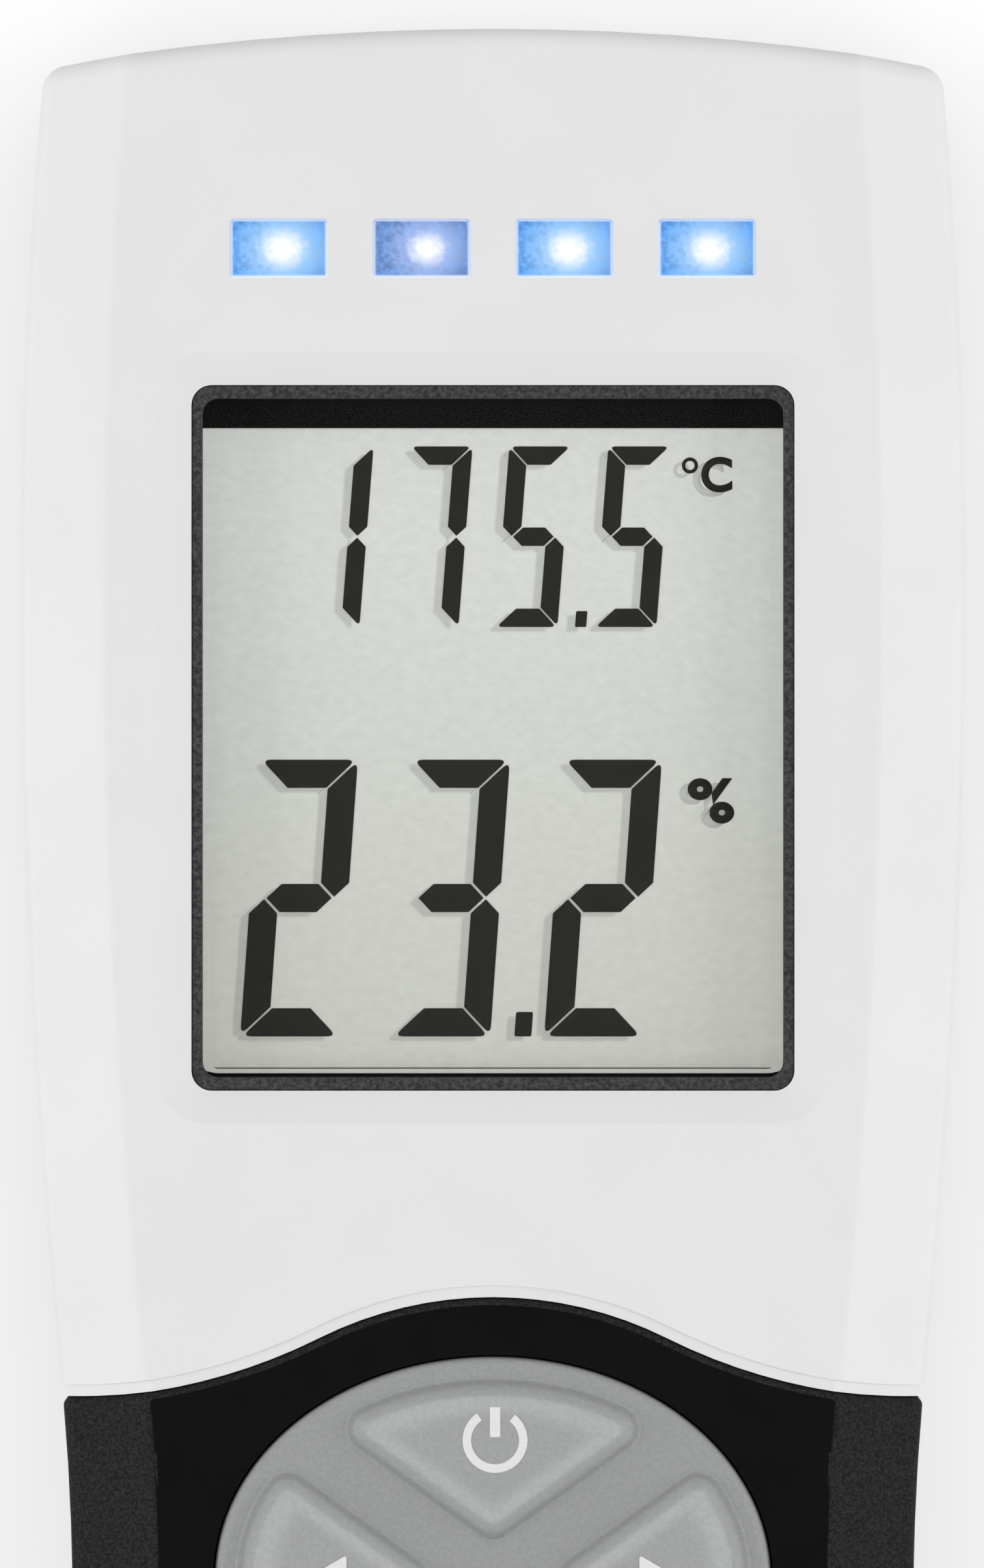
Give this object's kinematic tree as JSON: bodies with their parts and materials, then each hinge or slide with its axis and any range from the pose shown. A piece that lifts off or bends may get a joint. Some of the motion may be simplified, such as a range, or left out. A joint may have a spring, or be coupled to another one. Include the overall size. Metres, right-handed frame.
{
  "type": "cooking oil tester",
  "caption": "Hand-held cooking oil tester with a display, status windows and an oval keypad, on a long steel probe that ends in a guarded sensor.",
  "frame": {"origin": "centre of the tester's bounding box in plan, on the plane of its flat back", "axes": "+Z out of the display, +Y along the tester towards its head, +X across its width, to the right as the display is read"},
  "size_m": [0.05, 0.354, 0.0279],
  "materials": {
    "white_housing": "fine satin",
    "dark_housing": "satin, textured flanks",
    "seal_rubber": "matt",
    "window_clear": "clear polished plastic",
    "display_glass": "satin display surface",
    "frame_black": "matt",
    "light_guide_clear": "lit blue",
    "board_green": "solder resist",
    "chip_black": "matt",
    "lamp_white": "gloss",
    "connector_cream": "matt",
    "keypad_rubber": "soft matt",
    "carbon": "matt",
    "gold_pads": "plated",
    "cell_sleeve": "printed sleeve",
    "contact_nickel": "nickel plated",
    "screw_steel": "zinc plated",
    "probe_steel": "brushed along",
    "sensor_ceramic": "fired ceramic",
    "plug_cream": "natural high-temperature plastic",
    "bead_blue": "glazed bead",
    "cable_jacket": "smooth"
  },
  "bodies": {
    "housing": {"front_cover": "white_housing", "grip_cover": "dark_housing", "rear_shell": "dark_housing", "housing_seal": "seal_rubber", "window_gasket": "seal_rubber", "display_window": "window_clear", "lcd_panel": "display_glass", "lcd_frame": "frame_black", "zebra_strips": "carbon", "indicator_leds": "lamp_white", "main_board": "board_green", "controller_chip": "chip_black", "board_connector": "connector_cream", "keypad_mat": "keypad_rubber", "key_contacts": "gold_pads", "battery_cell_1": "cell_sleeve", "battery_cell_2": "cell_sleeve", "battery_contact_positive": "contact_nickel", "battery_contact_negative": "contact_nickel", "battery_bridge": "contact_nickel", "battery_springs": "contact_nickel", "case_screws": "screw_steel", "board_screws": "screw_steel", "probe_root": "probe_steel", "root_seal": "seal_rubber", "probe_collar": "dark_housing", "probe_tube": "probe_steel", "sensor_guard": "probe_steel", "sensor_plug": "plug_cream", "sensor_plate": "sensor_ceramic", "electrode_combs": "gold_pads", "temperature_sensor": "bead_blue", "sensor_cable": "cable_jacket", "light_guide_1": "light_guide_clear", "light_guide_2": "light_guide_clear", "light_guide_3": "light_guide_clear", "light_guide_4": "light_guide_clear"},
    "power_key": {"power_key": "keypad_rubber", "power_contact_pill": "carbon"},
    "right_key": {"right_key": "keypad_rubber", "right_contact_pill": "carbon"},
    "lower_key": {"lower_key": "keypad_rubber", "lower_contact_pill": "carbon"},
    "left_key": {"left_key": "keypad_rubber", "left_contact_pill": "carbon"},
    "battery_cover": {"battery_cover": "dark_housing"}
  },
  "joints": [
    {"name": "power_key_press", "type": "slide", "parent": "housing", "child": "power_key", "axis": [0, 0, -1], "range_m": [0, 0.0008], "stiffness_N_per_m": 1500},
    {"name": "right_key_press", "type": "slide", "parent": "housing", "child": "right_key", "axis": [0, 0, -1], "range_m": [0, 0.0008], "stiffness_N_per_m": 1500},
    {"name": "lower_key_press", "type": "slide", "parent": "housing", "child": "lower_key", "axis": [0, 0, -1], "range_m": [0, 0.0008], "stiffness_N_per_m": 1500},
    {"name": "left_key_press", "type": "slide", "parent": "housing", "child": "left_key", "axis": [0, 0, -1], "range_m": [0, 0.0008], "stiffness_N_per_m": 1500},
    {"name": "battery_cover_slide", "type": "slide", "parent": "housing", "child": "battery_cover", "axis": [0, -1, 0], "range_m": [0, 0.06]}
  ]
}
